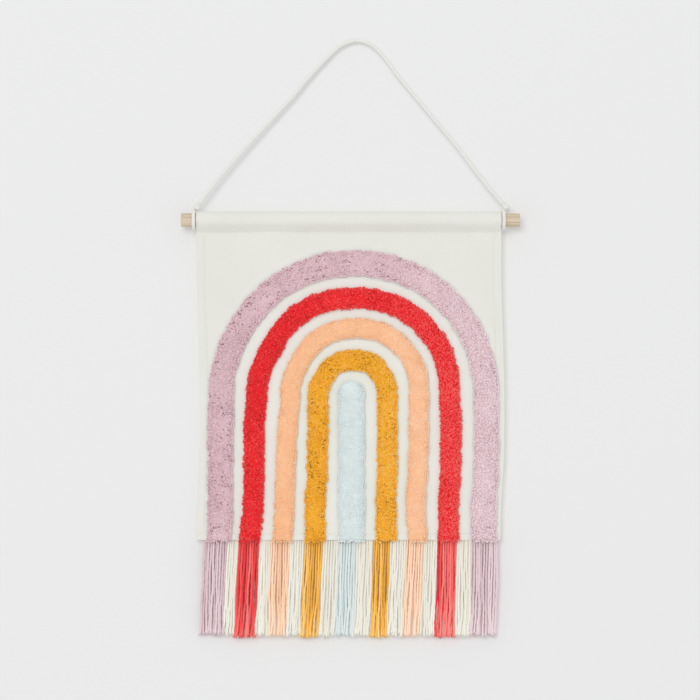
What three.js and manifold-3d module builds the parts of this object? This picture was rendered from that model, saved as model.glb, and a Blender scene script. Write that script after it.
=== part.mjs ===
// Wall tapestry: a canvas banner with a tufted rainbow and a yarn fringe, on a dowel that hangs by a cord.
// Millimetres. +X is the viewer's right, +Z is up, the viewer stands at -Y and the wall is at +Y.
// The origin is the point of the nail that carries the cord, under the cord's highest point.

import * as THREE from "three";
import { mergeVertices } from "three/addons/utils/BufferGeometryUtils.js";
import Module from "manifold-3d";

const wasm = await Module();
wasm.setup();

// Clearance between pieces that touch on the real hanging
const GAP = 0.3;

// The dowel: a round rod along X, with a small chamfer at each end
const DOWEL = { length: 440, radius: 9, chamfer: 0.8, sides: 32, x: -8.5, y: -10.5, z: -231.4 };

// The canvas: its sizes, and how far behind the dowel's axis its hem hangs
const CLOTH = { width: 396.5, thickness: 2, hemZ: -648, leanBack: 5 };
const POCKET = { seamDrop: 15.6, innerTip: 12.6, tailLength: 9, tailThickness: 1.2 };
const HEM = { sideWidth: 12, footHeight: 10, thickness: 1 };
const PANEL_ROWS = 14;
const PANEL_COLUMNS = 16;

// The canvas hangs in shallow upright waves that grow towards the hem
const WAVES = [
  { length: 262, depth: 1.1, phase: 0.5 },
  { length: 151, depth: 0.25, phase: 2.1 },
];

// The canvas hangs a little askew: its middle line in X at a few heights, from the seam down
const SWAY = [
  { z: -247, x: -10.6 },
  { z: -320, x: -10.2 },
  { z: -380, x: -8.2 },
  { z: -440, x: -6.3 },
  { z: -500, x: -6 },
  { z: -545, x: -7 },
  { z: -580, x: -9.4 },
  { z: -610, x: -11.2 },
  { z: -648, x: -11.6 },
];

// The rainbow: half circles on legs about one middle line, each tufted a little off its true line.
// An arch's wander says how far outwards its middle lies at 15 places: 4 steps up the left leg from its
// foot, 6 steps over the half circle and 4 steps down the right leg.
const RAINBOW = { x: -6, springZ: -460, footDrop: 1.2, pileHeight: 6, stationStep: 7.5 };
const ARCHES = [
  {
    name: "pile_lilac",
    finish: "lilac",
    radius: 174,
    halfWidth: 17.1,
    wander: [-0.7, -1.8, -2.4, -2, -3.2, -4.2, -2.6, -1.5, 0.6, 0.5, -0.5, 0.4, -0.5, -3.5, -2.8],
  },
  {
    name: "pile_red",
    finish: "red",
    radius: 128.5,
    halfWidth: 14.3,
    wander: [5.2, 0.4, -0.9, -0.6, -4.2, -6.2, -1.2, -1.6, 1.4, 1.3, -2.2, -0.5, -1.1, -3.8, -3.4],
  },
  {
    name: "pile_peach",
    finish: "peach",
    radius: 86,
    halfWidth: 13.5,
    wander: [5.2, 2.1, 1.2, -1, -5.4, -5.2, 0, 2.1, 4.9, 4, 0.4, 0, -0.7, -3.6, -1.5],
  },
  {
    name: "pile_mustard",
    finish: "mustard",
    radius: 45,
    halfWidth: 14,
    wander: [3.5, 3.3, 1, -0.3, -0.6, -1.2, 1.2, 1.6, 2.9, 1, 0.7, 0.2, 0.2, -1.2, -0.9],
  },
];
const LEG_STEPS = 4;
const ARC_STEPS = 6;
const BAR = {
  name: "pile_blue",
  finish: "blue",
  x: -7.4,
  halfWidth: 17.8,
  topZ: -440,
  domeSteps: 4,
  domeTurn: 1.3,
};

// The pile's section, from rim to rim: shares of its half width and of its height
const PILE_SECTION = [
  { across: -1, height: 0 },
  { across: -0.97, height: 0.6 },
  { across: -0.5, height: 0.96 },
  { across: 0, height: 1 },
  { across: 0.5, height: 0.96 },
  { across: 0.97, height: 0.6 },
  { across: 1, height: 0 },
];

// The pile's lumps, and the locks that stand out at its rim
const LUMP_HEIGHT = 0.9;
const LOCK_REACH = 1.4;

// Which run of uneven numbers each form takes; an arch takes its own place in the table
const SEEDS = { bar: 5, yarnLength: 21, yarnBow: 22, innerRim: 1, outerRim: 2 };

// The fringe, from left to right: width of each group at the hem, and its sideways drift at the foot
const FRINGE = [
  { finish: "lilac", width: 31.5, drift: -5 },
  { finish: "white", width: 15.5, drift: -7 },
  { finish: "red", width: 26.5, drift: -7.5 },
  { finish: "white", width: 14.5, drift: -5 },
  { finish: "peach", width: 25, drift: -3 },
  { finish: "white", width: 19, drift: -5.5 },
  { finish: "mustard", width: 24.5, drift: -8.5 },
  { finish: "white", width: 20, drift: -6.5 },
  { finish: "blue", width: 23, drift: -4.5 },
  { finish: "white", width: 22, drift: -5 },
  { finish: "mustard", width: 22, drift: -4.5 },
  { finish: "white", width: 21.5, drift: -5.5 },
  { finish: "peach", width: 22.5, drift: -7 },
  { finish: "white", width: 18, drift: -4.5 },
  { finish: "red", width: 25, drift: -4 },
  { finish: "white", width: 18.5, drift: -2.5 },
  { finish: "lilac", width: 35.5, drift: -3 },
];
const FRINGE_LEFT = -200.5;
const YARN = { pitch: 3.6, width: 3.1, depth: 2, rowDepth: 1.15, length: 124, ragged: 3, sideStep: 0.3 };
const YARN_MIDDLE = { down: 0.45, drifted: 0.42 };
const HEADING = { height: 5.5, thickness: 4.5, aboveHem: 6, gap: 0.5, sections: 3 };

// The cord: its thickness, and the round turn and knot that tie each end to the dowel beside the cloth
const CORD = { diameter: 5.2, sides: 8, steps: 48 };
const TIE = { ringSides: 20, knotRadius: 4.6 };
const TIE_LEFT = { ringX: -212, knot: [-207.4, -10.5, -214.6] };
const TIE_RIGHT = { ringX: 190.7, knot: [193.4, -10.5, -214.2] };

// The cord's way from the left knot over the nail to the right knot: x, y, z
const CORD_ROUTE = [
  [-196.4, -10, -198.6],
  [-171.5, -8.8, -167.4],
  [-144.1, -7.5, -136.3],
  [-115.6, -6.1, -105],
  [-86.6, -4.6, -73.8],
  [-61, -3.3, -43.4],
  [-41, -2.3, -22],
  [-26.2, -1.4, -7.4],
  [-15.4, -0.8, -0.9],
  [-5.4, -0.2, 2.6],
  [0.6, 0, 3],
  [6.6, -0.2, 2.3],
  [17.4, -0.8, -1.9],
  [28.6, -1.5, -11.4],
  [39, -2.1, -23.6],
  [54.2, -2.9, -44.6],
  [79.8, -4.2, -75.2],
  [105.6, -5.6, -106.4],
  [131.8, -7.1, -137.8],
  [155, -8.5, -168.8],
  [177.8, -9.8, -197.2],
];

// Colours and roughness; nothing here is metal
const FINISHES = {
  wood: { color: 0xe2c496, roughness: 0.6 },
  canvas: { color: 0xeae8df, roughness: 0.95 },
  cord: { color: 0xe8e6de, roughness: 0.9 },
  white: { color: 0xeceae2, roughness: 0.95 },
  lilac: { color: 0xd7b8c2, roughness: 1 },
  red: { color: 0xe83a3e, roughness: 1 },
  peach: { color: 0xf7c09a, roughness: 1 },
  mustard: { color: 0xeca633, roughness: 1 },
  blue: { color: 0xd2e3e2, roughness: 1 },
};

const SEAM_Z = DOWEL.z - POCKET.seamDrop;
const HALF_CLOTH = CLOTH.thickness / 2;

// A mesh of one piece, named and finished
function piece(name, geometry, finish) {
  const { color, roughness } = FINISHES[finish];
  const material = new THREE.MeshStandardMaterial({ color, roughness, metalness: 0 });
  const mesh = new THREE.Mesh(geometry, material);
  mesh.name = name;
  return mesh;
}

// A repeatable uneven number from -1 to 1 for a place on the piece
function uneven(place, seed) {
  const turned = Math.sin(place * 12.9898 + seed * 78.233) * 43758.5453;
  return 2 * (turned - Math.floor(turned)) - 1;
}

// A closed solid through rings of equal point counts, with a flat fan at each end
function loft(rings) {
  const count = rings[0].length;
  const last = (rings.length - 1) * count;
  const index = [];
  for (let ring = 0; ring + 1 < rings.length; ring++) {
    for (let corner = 0; corner < count; corner++) {
      const a = ring * count + corner;
      const b = ring * count + ((corner + 1) % count);
      index.push(a, b, a + count, b, b + count, a + count);
    }
  }
  for (let corner = 1; corner + 1 < count; corner++) {
    index.push(0, corner + 1, corner);
    index.push(last, last + corner, last + corner + 1);
  }
  const geometry = new THREE.BufferGeometry().setFromPoints(rings.flat());
  geometry.setIndex(index);
  return geometry;
}

// Joins closed geometries into one solid
function fuse(geometries) {
  const solids = geometries.map((geometry) => {
    const bare = geometry.clone();
    bare.deleteAttribute("normal");
    bare.deleteAttribute("uv");
    const merged = mergeVertices(bare, 1e-3);
    const vertProperties = merged.attributes.position.array;
    const triVerts = new Uint32Array(merged.index.array);
    return new wasm.Manifold(new wasm.Mesh({ numProp: 3, vertProperties, triVerts }));
  });
  const { vertProperties, triVerts } = solids.reduce((whole, next) => whole.add(next)).getMesh();
  const joined = new THREE.BufferGeometry();
  joined.setAttribute("position", new THREE.BufferAttribute(vertProperties, 3));
  joined.setIndex(new THREE.BufferAttribute(triVerts, 1));
  return joined;
}

// The dowel, turned about its own axis
function dowel() {
  const half = DOWEL.length / 2;
  const profile = [
    new THREE.Vector2(0, -half),
    new THREE.Vector2(DOWEL.radius - DOWEL.chamfer, -half),
    new THREE.Vector2(DOWEL.radius, -half + DOWEL.chamfer),
    new THREE.Vector2(DOWEL.radius, half - DOWEL.chamfer),
    new THREE.Vector2(DOWEL.radius - DOWEL.chamfer, half),
    new THREE.Vector2(0, half),
  ];
  const mesh = piece("dowel", new THREE.LatheGeometry(profile, DOWEL.sides), "wood");
  mesh.rotation.z = -Math.PI / 2;
  mesh.position.set(DOWEL.x, DOWEL.y, DOWEL.z);
  return mesh;
}

// How far down the panel a height lies: 0 at the pocket's seam, 1 at the hem
function shareDown(z) {
  return THREE.MathUtils.clamp((SEAM_Z - z) / (SEAM_Z - CLOTH.hemZ), 0, 1);
}

// The canvas's middle line in X at a height, between the places of its sway
function middleX(z) {
  const next = SWAY.findIndex((place) => place.z < z);
  if (next < 1) {
    return (next < 0 ? SWAY[SWAY.length - 1] : SWAY[0]).x;
  }
  const [a, b] = [SWAY[next - 1], SWAY[next]];
  return THREE.MathUtils.mapLinear(z, a.z, b.z, a.x, b.x);
}

// The middle of the canvas's thickness at a place on the panel
function panelY(x, z) {
  const down = shareDown(z);
  const wave = ({ length, depth, phase }) => depth * Math.sin((2 * Math.PI * x) / length + phase);
  const waves = WAVES.reduce((sum, one) => sum + wave(one), 0);
  return DOWEL.y + down * (CLOTH.leanBack + waves);
}

// The canvas's section in Y and Z, about the dowel's axis in Y: pocket, sewn tail, panel and foot hem
function bannerSection() {
  const outer = DOWEL.radius + GAP + CLOTH.thickness;
  const inner = DOWEL.radius + GAP;
  const outerTangent = Math.acos(outer / POCKET.seamDrop);
  const innerTangent = Math.acos(inner / POCKET.innerTip);
  const downwards = -Math.PI / 2;
  const rowHeight = (SEAM_Z - CLOTH.hemZ) / PANEL_ROWS;
  const footBack = HALF_CLOTH + HEM.thickness;
  const tailBack = HALF_CLOTH + POCKET.tailThickness;
  const tailEnd = SEAM_Z - POCKET.tailLength;
  const hemTop = CLOTH.hemZ + HEM.footHeight;
  const section = new THREE.Shape();
  section.moveTo(-HALF_CLOTH, CLOTH.hemZ);
  section.lineTo(footBack, CLOTH.hemZ);
  section.lineTo(footBack, hemTop);
  section.lineTo(HALF_CLOTH, hemTop - HEM.thickness);
  for (let row = 1; row < PANEL_ROWS; row++) {
    section.lineTo(HALF_CLOTH, CLOTH.hemZ + row * rowHeight);
  }
  section.lineTo(HALF_CLOTH, tailEnd);
  section.lineTo(tailBack, tailEnd);
  section.lineTo(tailBack, SEAM_Z);
  section.absarc(0, DOWEL.z, outer, downwards + outerTangent, downwards - outerTangent + 2 * Math.PI);
  section.lineTo(-HALF_CLOTH, SEAM_Z);
  for (let row = PANEL_ROWS - 1; row > 0; row--) {
    section.lineTo(-HALF_CLOTH, CLOTH.hemZ + row * rowHeight);
  }
  section.closePath();
  const hole = new THREE.Path();
  hole.absarc(0, DOWEL.z, inner, downwards + innerTangent, downwards - innerTangent + 2 * Math.PI);
  hole.lineTo(0, DOWEL.z - POCKET.innerTip);
  hole.closePath();
  section.holes.push(hole);
  return section;
}

// Where the banner's columns of points stand across its width: edge, side hem, even steps, side hem, edge
function columnShare(column) {
  const hem = HEM.sideWidth / CLOTH.width;
  const last = PANEL_COLUMNS + 1;
  if (column === 0 || column === last) {
    return column / last;
  }
  return hem + ((column - 1) / (PANEL_COLUMNS - 1)) * (1 - 2 * hem);
}

// The canvas: its section carried across, with its sway, its waves and its side hems
function banner() {
  const steps = PANEL_COLUMNS + 1;
  const options = { depth: steps, steps, bevelEnabled: false, curveSegments: 10 };
  const geometry = new THREE.ExtrudeGeometry(bannerSection(), options);
  const position = geometry.attributes.position;
  for (let i = 0; i < position.count; i++) {
    const [sideways, z, column] = [position.getX(i), position.getY(i), Math.round(position.getZ(i))];
    const x = middleX(z) + (columnShare(column) - 0.5) * CLOTH.width;
    const onPanelBack = sideways === HALF_CLOTH && z < SEAM_Z;
    const sideHem = onPanelBack && column % steps === 0 ? HEM.thickness : 0;
    position.setXYZ(i, x, panelY(x, z) + sideways + sideHem, z);
  }
  geometry.deleteAttribute("uv");
  geometry.deleteAttribute("normal");
  return piece("banner", mergeVertices(geometry, 1e-3), "canvas");
}

// One ring of a pile slab: flat behind, domed and lumpy in front, with locks at its two rims
function pileRing(middle, sideways, halfWidth, station, seed) {
  const innerRim = halfWidth + LOCK_REACH * uneven(station, seed + SEEDS.innerRim);
  const outerRim = halfWidth + LOCK_REACH * uneven(station, seed + SEEDS.outerRim);
  return PILE_SECTION.map(({ across, height }, k) => {
    const reach = across * (across < 0 ? innerRim : outerRim);
    const x = middle.x + sideways.x * reach;
    const z = middle.y + sideways.y * reach;
    const lump = LUMP_HEIGHT * uneven(station * PILE_SECTION.length + k, seed);
    const front = height * (RAINBOW.pileHeight - LUMP_HEIGHT + lump);
    return new THREE.Vector3(x, panelY(x, z) - HALF_CLOTH - GAP - front, z);
  });
}

// How far outwards an arch's middle lies at a distance along it, eased between the places of its wander
function wanderAt(run, leg, arc, wander) {
  const place =
    (LEG_STEPS * Math.min(run, leg)) / leg +
    (ARC_STEPS * THREE.MathUtils.clamp(run - leg, 0, arc)) / arc +
    (LEG_STEPS * Math.max(run - leg - arc, 0)) / leg;
  const first = Math.min(Math.floor(place), wander.length - 2);
  const eased = THREE.MathUtils.smoothstep(place - first, 0, 1);
  return THREE.MathUtils.lerp(wander[first], wander[first + 1], eased);
}

// One arch of pile: up the left leg, over the half circle and down the right leg
function arch({ name, finish, radius, halfWidth, wander }, seed) {
  const leg = RAINBOW.springZ - (CLOTH.hemZ - RAINBOW.footDrop);
  const arc = Math.PI * radius;
  const path = new THREE.Path();
  path.moveTo(RAINBOW.x - radius, RAINBOW.springZ - leg);
  path.lineTo(RAINBOW.x - radius, RAINBOW.springZ);
  path.absarc(RAINBOW.x, RAINBOW.springZ, radius, Math.PI, 0, true);
  path.lineTo(RAINBOW.x + radius, RAINBOW.springZ - leg);
  const stations = Math.round(path.getLength() / RAINBOW.stationStep);
  const rings = [];
  for (let station = 0; station <= stations; station++) {
    const along = path.getTangentAt(station / stations);
    const sideways = new THREE.Vector2(along.y, -along.x);
    const run = ((2 * leg + arc) * station) / stations;
    const outwards = wanderAt(run, leg, arc, wander);
    const middle = path.getPointAt(station / stations).addScaledVector(sideways, -outwards);
    rings.push(pileRing(middle, sideways, halfWidth, station, seed));
  }
  return piece(name, loft(rings), finish);
}

// The bar of pile in the middle: even rings up its sides, then rings that close in round its top
function bar() {
  const foot = CLOTH.hemZ - RAINBOW.footDrop;
  const domeZ = BAR.topZ - BAR.halfWidth;
  const straightSteps = Math.round((domeZ - foot) / RAINBOW.stationStep);
  const levels = [];
  for (let step = 0; step < straightSteps; step++) {
    levels.push({ z: foot + ((domeZ - foot) * step) / straightSteps, halfWidth: BAR.halfWidth });
  }
  for (let step = 0; step <= BAR.domeSteps; step++) {
    const turn = (BAR.domeTurn * step) / BAR.domeSteps;
    levels.push({ z: domeZ + BAR.halfWidth * Math.sin(turn), halfWidth: BAR.halfWidth * Math.cos(turn) });
  }
  const sideways = new THREE.Vector2(1, 0);
  const rings = levels.map(({ z, halfWidth }, station) => {
    return pileRing(new THREE.Vector2(BAR.x, z), sideways, halfWidth, station, SEEDS.bar);
  });
  return piece(BAR.name, loft(rings), BAR.finish);
}

// The four corners of a yarn's level section
function yarnRing(x, y, z) {
  const corners = [[-1, -1], [-1, 1], [1, 1], [1, -1]];
  return corners.map(([a, b]) => new THREE.Vector3(x + (a * YARN.width) / 2, y + (b * YARN.depth) / 2, z));
}

// Sideways drift of the fringe's foot at a place along the hem, blended between the groups' middles
function driftAt(x) {
  let edge = FRINGE_LEFT;
  const middles = FRINGE.map(({ width, drift }) => {
    edge += width;
    return { x: edge - width / 2, drift };
  });
  const next = middles.findIndex((middle) => middle.x > x);
  if (next < 1) {
    return (next < 0 ? middles[middles.length - 1] : middles[0]).drift;
  }
  const [a, b] = [middles[next - 1], middles[next]];
  return THREE.MathUtils.mapLinear(x, a.x, b.x, a.drift, b.drift);
}

// One yarn: a four-sided strand that leaves the heading, hangs down and drifts sideways.
// Neighbours hang in turn in a front and a back row.
function yarn(x, order) {
  const row = order % 2 === 0 ? -1 : 1;
  const y = headingY(x) + row * YARN.rowDepth;
  const bow = YARN.sideStep * uneven(order, SEEDS.yarnBow);
  const foot = CLOTH.hemZ - YARN.length + YARN.ragged * uneven(order, SEEDS.yarnLength);
  const levels = [
    { z: CLOTH.hemZ + HEADING.aboveHem - HEADING.height / 2, drift: 0 },
    { z: CLOTH.hemZ - YARN_MIDDLE.down * YARN.length, drift: YARN_MIDDLE.drifted * driftAt(x) + bow },
    { z: foot, drift: driftAt(x) - bow },
  ];
  return loft(levels.map(({ z, drift }) => yarnRing(x + drift, y, z)));
}

// The middle of a heading's thickness, behind the hem
function headingY(x) {
  return panelY(x, CLOTH.hemZ) + HALF_CLOTH + HEM.thickness + HEADING.gap + HEADING.thickness / 2;
}

// How many yarns a group holds
function yarnCount({ width }) {
  return Math.floor((width - GAP) / YARN.pitch);
}

// One colour of the fringe: its yarns, fused at their roots into the heading strip behind the hem
function fringeGroup({ finish, width }, left, number, firstYarn) {
  const count = yarnCount({ width });
  const top = CLOTH.hemZ + HEADING.aboveHem;
  const bottom = top - HEADING.height;
  const strip = [];
  for (let section = 0; section <= HEADING.sections; section++) {
    const x = left + GAP + (width - 2 * GAP) * (section / HEADING.sections);
    const front = headingY(x) - HEADING.thickness / 2;
    const back = headingY(x) + HEADING.thickness / 2;
    const corners = [[front, bottom], [back, bottom], [back, top], [front, top]];
    strip.push(corners.map(([y, z]) => new THREE.Vector3(x, y, z)));
  }
  const parts = [loft(strip)];
  for (let k = 0; k < count; k++) {
    const x = left + width * ((k + 0.5) / count);
    parts.push(yarn(x, firstYarn + k));
  }
  return piece("fringe_" + String(number).padStart(2, "0") + "_" + finish, fuse(parts), finish);
}

// All the groups, side by side under the hem
function fringe() {
  const group = new THREE.Group();
  let left = FRINGE_LEFT;
  let yarns = 0;
  FRINGE.forEach((one, k) => {
    group.add(fringeGroup(one, left, k + 1, yarns));
    left += one.width;
    yarns += yarnCount(one);
  });
  return group;
}

// A turn of cord round the dowel with its knot on top
function cordTie(name, { ringX, knot }) {
  const ringRadius = DOWEL.radius + GAP + CORD.diameter / 2;
  const ring = new THREE.TorusGeometry(ringRadius, CORD.diameter / 2, CORD.sides, TIE.ringSides);
  ring.rotateY(Math.PI / 2);
  ring.translate(ringX, DOWEL.y, DOWEL.z);
  const ball = new THREE.SphereGeometry(TIE.knotRadius, 12, 8);
  ball.translate(...knot);
  return piece(name, fuse([ring, ball]), "cord");
}

// A point just clear of a knot, on the way to the route's nearest point
function knotExit(knot, towards) {
  const from = new THREE.Vector3(...knot);
  const along = new THREE.Vector3(...towards).sub(from).normalize();
  return from.addScaledVector(along, TIE.knotRadius + GAP);
}

// The free cord, one tube from knot to knot
function hangingCord() {
  const inner = CORD_ROUTE.map((point) => new THREE.Vector3(...point));
  const start = knotExit(TIE_LEFT.knot, CORD_ROUTE[0]);
  const end = knotExit(TIE_RIGHT.knot, CORD_ROUTE[CORD_ROUTE.length - 1]);
  const path = new THREE.CatmullRomCurve3([start, ...inner, end]);
  const section = new THREE.Shape();
  section.absarc(0, 0, CORD.diameter / 2, 0, 2 * Math.PI);
  const options = {
    steps: CORD.steps,
    extrudePath: path,
    curveSegments: CORD.sides / 2,
    bevelEnabled: false,
  };
  return piece("hanging_cord", new THREE.ExtrudeGeometry(section, options), "cord");
}

const cloth = new THREE.Group();
cloth.add(banner(), ...ARCHES.map(arch), bar(), fringe());

const hanger = new THREE.Group();
hanger.add(dowel(), hangingCord());
hanger.add(cordTie("cord_tie_left", TIE_LEFT), cordTie("cord_tie_right", TIE_RIGHT));

const tapestry = new THREE.Group();
tapestry.add(cloth, hanger);

export default tapestry;
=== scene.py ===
"""The look of the wall tapestry: canvas, tufted pile, yarn fringe, cotton cord and wooden dowel.

Metres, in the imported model's frame: +X is the viewer's right, +Y goes away from the viewer, +Z is up, and
the origin is the point that carries the cord.
"""

import math

import bpy
import numpy as np
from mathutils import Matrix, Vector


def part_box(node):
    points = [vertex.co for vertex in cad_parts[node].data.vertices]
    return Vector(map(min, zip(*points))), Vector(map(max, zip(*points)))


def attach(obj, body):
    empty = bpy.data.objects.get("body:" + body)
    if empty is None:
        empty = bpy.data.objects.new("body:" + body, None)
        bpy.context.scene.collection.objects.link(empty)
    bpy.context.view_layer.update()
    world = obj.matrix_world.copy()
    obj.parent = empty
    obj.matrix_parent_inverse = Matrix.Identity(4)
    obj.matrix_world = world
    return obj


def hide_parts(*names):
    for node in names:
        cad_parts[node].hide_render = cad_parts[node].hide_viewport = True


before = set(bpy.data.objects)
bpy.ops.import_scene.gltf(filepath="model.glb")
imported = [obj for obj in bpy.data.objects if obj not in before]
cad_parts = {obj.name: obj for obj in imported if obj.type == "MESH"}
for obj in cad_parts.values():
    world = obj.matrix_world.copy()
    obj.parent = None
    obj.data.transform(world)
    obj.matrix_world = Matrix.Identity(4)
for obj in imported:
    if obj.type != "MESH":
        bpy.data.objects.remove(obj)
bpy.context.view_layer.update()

MM = 0.001
TURN = 2 * math.pi
ALONG_X, ALONG_Y, ALONG_Z = np.eye(3)

# Places and sizes of the carried pieces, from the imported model
DOWEL_LOW, DOWEL_HIGH = (np.array(corner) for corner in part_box("dowel"))
DOWEL_MIDDLE = (DOWEL_LOW + DOWEL_HIGH) / 2
DOWEL_LENGTH = DOWEL_HIGH[0] - DOWEL_LOW[0]
DOWEL_RADIUS = (DOWEL_HIGH[2] - DOWEL_LOW[2]) / 2
HEM_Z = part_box("banner")[0][2]
SEAM_Z = DOWEL_MIDDLE[2] - 15.6 * MM

# The canvas: its width, the solid sheet's half thickness, the real cloth's, and how it hangs
CLOTH_WIDTH = 396.5 * MM
SOLID_HALF = 1 * MM
CLOTH = 1.3 * MM
LEAN_BACK = 5 * MM
WAVES = ((262 * MM, 1.1 * MM, 0.5), (151 * MM, 0.25 * MM, 2.1))

# The canvas hangs a little askew: heights from the hem up, and its middle line in X there
SWAY = np.array([
    [-648, -11.6],
    [-610, -11.2],
    [-580, -9.4],
    [-545, -7],
    [-500, -6],
    [-440, -6.3],
    [-380, -8.2],
    [-320, -10.2],
    [-247, -10.6],
]) * MM

# The rainbow: middle line, spring line, foot, and each arch's middle radius and half width. The wander is
# how far outwards an arch's middle lies at 15 places from its left foot to its right foot.
RAINBOW_X = -6 * MM
SPRING_Z = -460 * MM
FOOT_Z = HEM_Z - 1.2 * MM
LEG = SPRING_Z - FOOT_Z
LEG_STEPS, ARC_STEPS = 4, 6
ARCHES = (
    {
        "yarn": "lilac", "radius": 174 * MM, "half": 17.1 * MM,
        "wander": (-0.7, -1.8, -2.4, -2, -3.2, -4.2, -2.6, -1.5, 0.6, 0.5, -0.5, 0.4, -0.5, -3.5, -2.8),
    },
    {
        "yarn": "red", "radius": 128.5 * MM, "half": 14.3 * MM,
        "wander": (5.2, 0.4, -0.9, -0.6, -4.2, -6.2, -1.2, -1.6, 1.4, 1.3, -2.2, -0.5, -1.1, -3.8, -3.4),
    },
    {
        "yarn": "peach", "radius": 86 * MM, "half": 13.5 * MM,
        "wander": (5.2, 2.1, 1.2, -1, -5.4, -5.2, 0, 2.1, 4.9, 4, 0.4, 0, -0.7, -3.6, -1.5),
    },
    {
        "yarn": "mustard", "radius": 45 * MM, "half": 14 * MM,
        "wander": (3.5, 3.3, 1, -0.3, -0.6, -1.2, 1.2, 1.6, 2.9, 1, 0.7, 0.2, 0.2, -1.2, -0.9),
    },
)
BAR_X, BAR_HALF, BAR_TOP = -7.4 * MM, 17.8 * MM, -440 * MM

# The fringe, from left to right: yarn, width at the hem, sideways drift at the foot, drop of its foot
FRINGE_LEFT = -200.5 * MM
FRINGE = (
    ("lilac", 31.5, -5, -1.5),
    ("white", 15.5, -7, -1),
    ("red", 26.5, -7.5, 1.5),
    ("white", 14.5, -5, 0),
    ("peach", 25, -3, 0),
    ("white", 19, -5.5, 0),
    ("mustard", 24.5, -8.5, 2),
    ("white", 20, -6.5, 0.5),
    ("blue", 23, -4.5, 0),
    ("white", 22, -5, 0.5),
    ("mustard", 22, -4.5, 1.5),
    ("white", 21.5, -5.5, 0),
    ("peach", 22.5, -7, 0.5),
    ("white", 18, -4.5, 0),
    ("red", 25, -4, 2),
    ("white", 18.5, -2.5, 0.5),
    ("lilac", 35.5, -3, 0),
)
FRINGE_LENGTH = 124 * MM

# The cord's thickness, the ties' places, and the cord's way from knot to knot over the origin
CORD_DIAMETER = 5.2 * MM
KNOT_RADIUS = 4.6 * MM
TIES = {
    "cord_tie_left": {"ring_x": -212 * MM, "knot": np.array([-207.4, -10.5, -214.6]) * MM},
    "cord_tie_right": {"ring_x": 190.7 * MM, "knot": np.array([193.4, -10.5, -214.2]) * MM},
}
CORD_ROUTE = np.array([
    [-196.4, -10, -198.6],
    [-171.5, -8.8, -167.4],
    [-144.1, -7.5, -136.3],
    [-115.6, -6.1, -105],
    [-86.6, -4.6, -73.8],
    [-61, -3.3, -43.4],
    [-41, -2.3, -22],
    [-26.2, -1.4, -7.4],
    [-15.4, -0.8, -0.9],
    [-5.4, -0.2, 2.6],
    [0.6, 0, 3],
    [6.6, -0.2, 2.3],
    [17.4, -0.8, -1.9],
    [28.6, -1.5, -11.4],
    [39, -2.1, -23.6],
    [54.2, -2.9, -44.6],
    [79.8, -4.2, -75.2],
    [105.6, -5.6, -106.4],
    [131.8, -7.1, -137.8],
    [155, -8.5, -168.8],
    [177.8, -9.8, -197.2],
]) * MM

# The photograph's frame: millimetres to one of its 700 pixels, and the pixel that shows the origin
PIXEL = 1.3 * MM
PHOTO_SIDE = 700
ORIGIN_PIXEL = (357, 42)
CAMERA_DISTANCE = 3.6
SENSOR_MM = 36


def srgb(red, green, blue):
    """A linear colour with alpha 1, from 8-bit sRGB values."""
    shares = [value / 255 for value in (red, green, blue)]
    linear = [s / 12.92 if s <= 0.04045 else ((s + 0.055) / 1.055) ** 2.4 for s in shares]
    return (*linear, 1.0)


# Yarn colours of the pile and of the fringe, in 8-bit sRGB: the painted shade deep between the yarns, their
# lit faces, and a pale painted highlight on some ends. Specks is the share of the pile's tufts that sit deep
# in painted shade.
PILE_YARNS = {
    "lilac": ((108, 64, 76), (229, 196, 203), (239, 222, 227)),
    "red": ((134, 0, 6), (242, 14, 28), (248, 104, 100)),
    "peach": ((242, 172, 124), (251, 201, 154), (252, 219, 198)),
    "mustard": ((130, 72, 0), (249, 180, 18), (248, 208, 116)),
    "blue": ((220, 232, 232), (223, 233, 232), (230, 238, 237)),
}
SPECKS = {"lilac": 0.13, "red": 0.09, "peach": 0.01, "mustard": 0.14, "blue": 0.0}
FRINGE_YARNS = {
    "lilac": ((118, 90, 101), (222, 197, 202), (236, 218, 222)),
    "red": ((112, 0, 12), (248, 60, 64), (252, 140, 132)),
    "peach": ((214, 150, 108), (253, 214, 182), (255, 230, 208)),
    "mustard": ((112, 62, 0), (251, 188, 70), (252, 214, 138)),
    "blue": ((196, 210, 211), (218, 228, 227), (231, 239, 237)),
    "white": ((228, 224, 208), (236, 232, 219), (243, 241, 231)),
}

# Unevenness: how many waves, their lengths as shares, and their sum's usual peak. Then the painted light that
# makes the yarns paler towards the right, the rounding of the sway, and the steps between a smooth path's
# places.
RIPPLE_WAVES, RIPPLE_LENGTHS, RIPPLE_PEAK = 6, (0.7, 1.5), 3.5
PAINTED_LIGHT_BY, PAINTED_LIGHT_REACH = 0.46, 180 * MM
SWAY_ROUNDING = 18 * MM
CURVE_STEPS = 24


def linked(name, data):
    """A new object in the scene."""
    made = bpy.data.objects.new(name, data)
    bpy.context.scene.collection.objects.link(made)
    return made


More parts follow.
